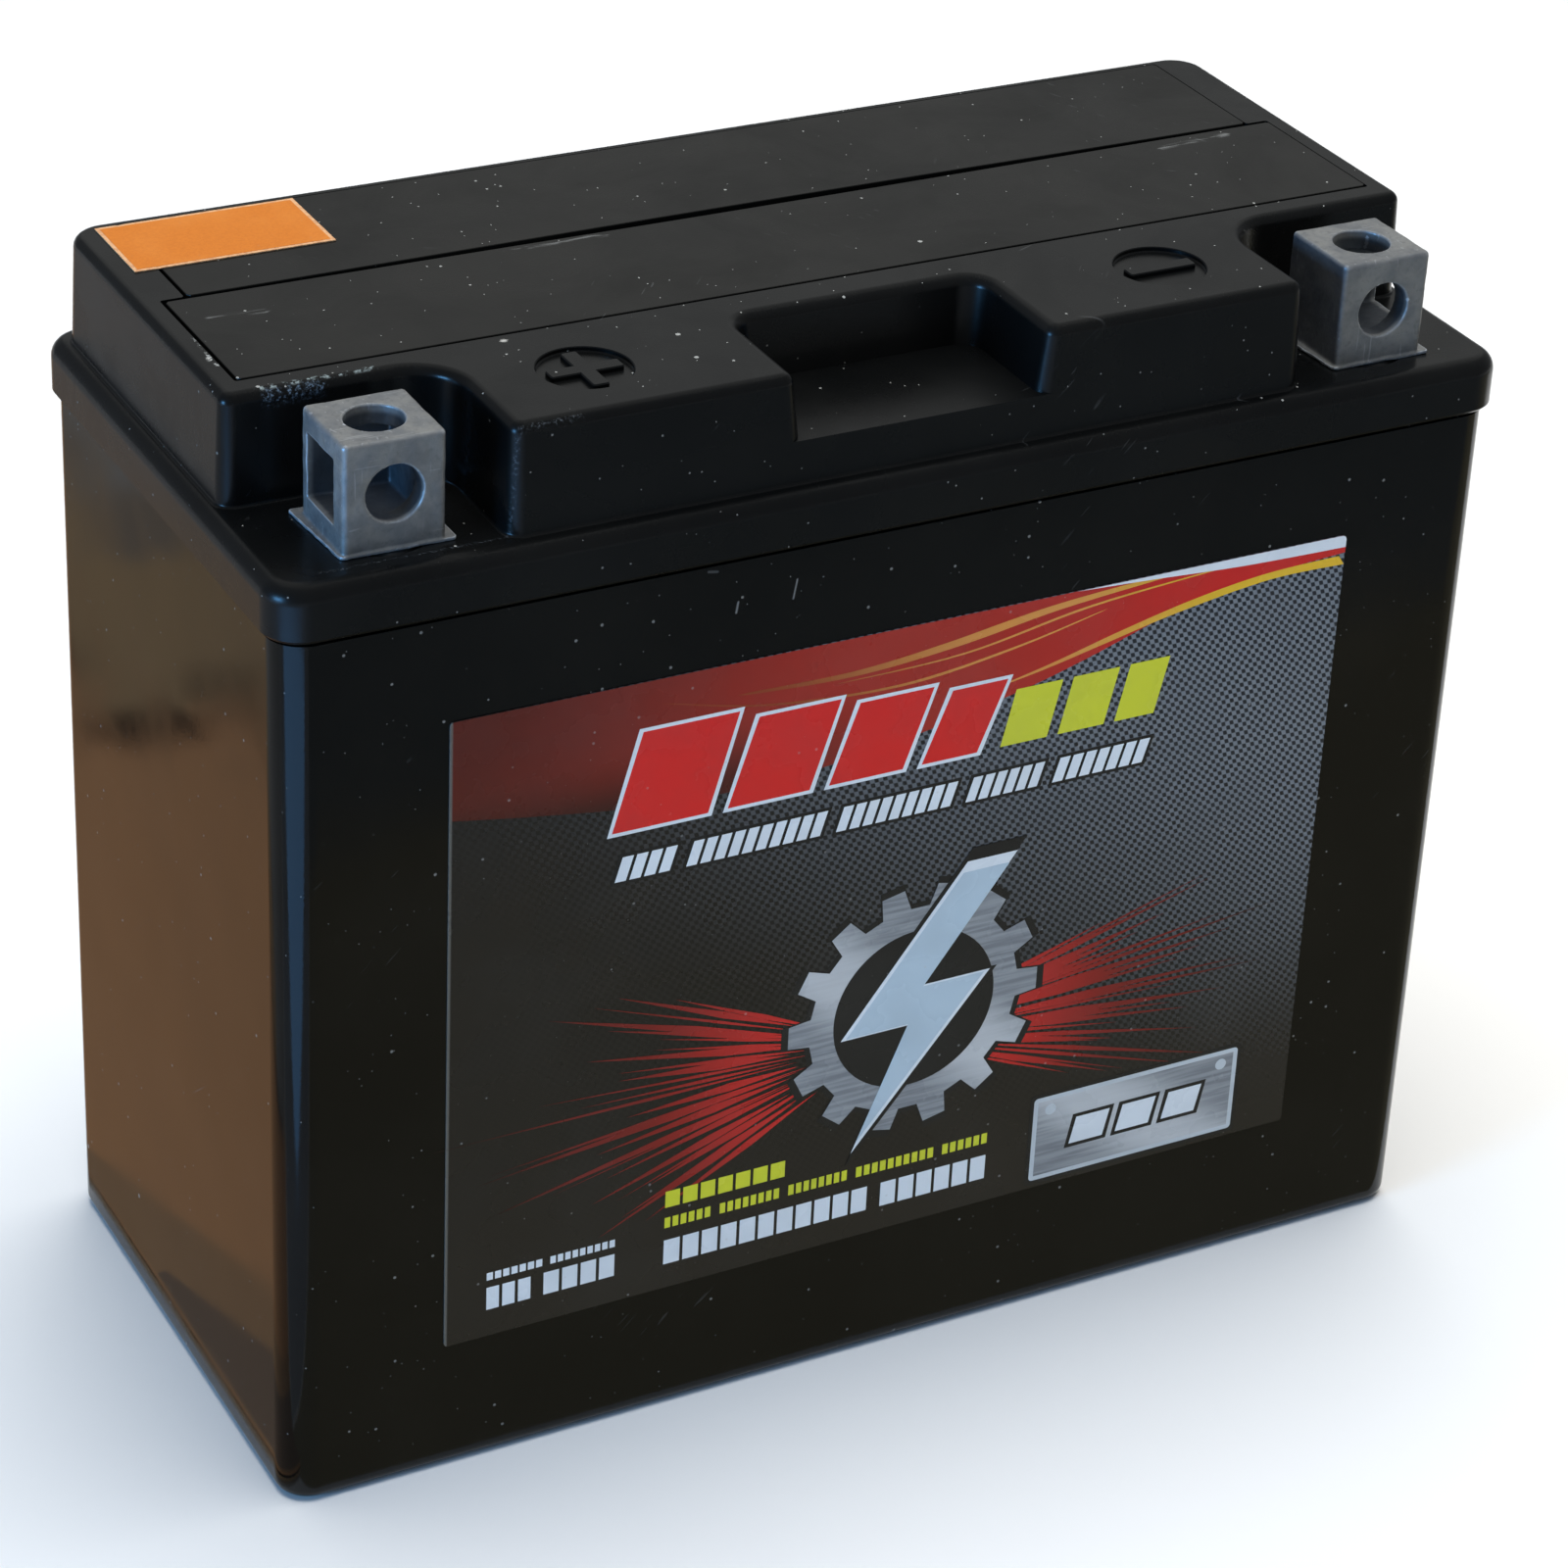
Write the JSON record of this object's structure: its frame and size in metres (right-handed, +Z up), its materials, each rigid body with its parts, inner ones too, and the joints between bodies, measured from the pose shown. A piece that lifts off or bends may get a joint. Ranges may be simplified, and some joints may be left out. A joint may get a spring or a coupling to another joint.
{
  "type": "motorcycle battery",
  "caption": "Sealed upright box battery with a stepped lid, hollow cube terminals in its front corners, a notch between them and a printed front label.",
  "frame": {"origin": "middle of the flat base", "axes": "+X along the length from the positive to the negative terminal, -Y the labelled front, +Z up"},
  "size_m": [0.15, 0.0694, 0.1284],
  "materials": {
    "case_plastic": "black moulded plastic, satin, with fine scratches",
    "lid_plastic": "black moulded plastic, satin, dusty",
    "cast_lead": "cast lead alloy, dull grey, rubbed bright on its edges",
    "seal_rubber": "soft black rubber",
    "positive_paste": "dark brown lead dioxide paste on a lead grid",
    "negative_paste": "grey spongy lead on a lead grid",
    "glass_mat": "white glass fibre mat",
    "label_film": "glossy printed film, black with a red band",
    "orange_film": "plain orange sticker with a pale edge"
  },
  "bodies": {
    "battery": {"container": "case_plastic", "lid": "lid_plastic", "plug_strip": "lid_plastic", "vent_cover": "lid_plastic", "positive_terminal": "cast_lead", "negative_terminal": "cast_lead", "positive_terminal_seal": "seal_rubber", "negative_terminal_seal": "seal_rubber", "front_label": "label_film", "top_sticker": "orange_film", "positive_plate_group_1": "positive_paste", "negative_plate_group_1": "negative_paste", "positive_plate_group_2": "positive_paste", "negative_plate_group_2": "negative_paste", "positive_plate_group_3": "positive_paste", "negative_plate_group_3": "negative_paste", "positive_plate_group_4": "positive_paste", "negative_plate_group_4": "negative_paste", "positive_plate_group_5": "positive_paste", "negative_plate_group_5": "negative_paste", "positive_plate_group_6": "positive_paste", "negative_plate_group_6": "negative_paste", "separator_1": "glass_mat", "separator_2": "glass_mat", "separator_3": "glass_mat", "separator_4": "glass_mat", "separator_5": "glass_mat", "separator_6": "glass_mat", "intercell_weld_1": "cast_lead", "intercell_weld_2": "cast_lead", "intercell_weld_3": "cast_lead", "intercell_weld_4": "cast_lead", "intercell_weld_5": "cast_lead"},
    "valve_cap_1": {"valve_cap_1": "seal_rubber"},
    "valve_cap_2": {"valve_cap_2": "seal_rubber"},
    "valve_cap_3": {"valve_cap_3": "seal_rubber"},
    "valve_cap_4": {"valve_cap_4": "seal_rubber"},
    "valve_cap_5": {"valve_cap_5": "seal_rubber"},
    "valve_cap_6": {"valve_cap_6": "seal_rubber"}
  },
  "joints": [
    {"name": "valve_lift_1", "type": "slide", "parent": "battery", "child": "valve_cap_1", "axis": [0, 0, 1], "range_m": [0, 0.0004], "stiffness_N_per_m": 150, "springref_m": -0.005},
    {"name": "valve_lift_2", "type": "slide", "parent": "battery", "child": "valve_cap_2", "axis": [0, 0, 1], "range_m": [0, 0.0004], "stiffness_N_per_m": 150, "springref_m": -0.005},
    {"name": "valve_lift_3", "type": "slide", "parent": "battery", "child": "valve_cap_3", "axis": [0, 0, 1], "range_m": [0, 0.0004], "stiffness_N_per_m": 150, "springref_m": -0.005},
    {"name": "valve_lift_4", "type": "slide", "parent": "battery", "child": "valve_cap_4", "axis": [0, 0, 1], "range_m": [0, 0.0004], "stiffness_N_per_m": 150, "springref_m": -0.005},
    {"name": "valve_lift_5", "type": "slide", "parent": "battery", "child": "valve_cap_5", "axis": [0, 0, 1], "range_m": [0, 0.0004], "stiffness_N_per_m": 150, "springref_m": -0.005},
    {"name": "valve_lift_6", "type": "slide", "parent": "battery", "child": "valve_cap_6", "axis": [0, 0, 1], "range_m": [0, 0.0004], "stiffness_N_per_m": 150, "springref_m": -0.005}
  ]
}
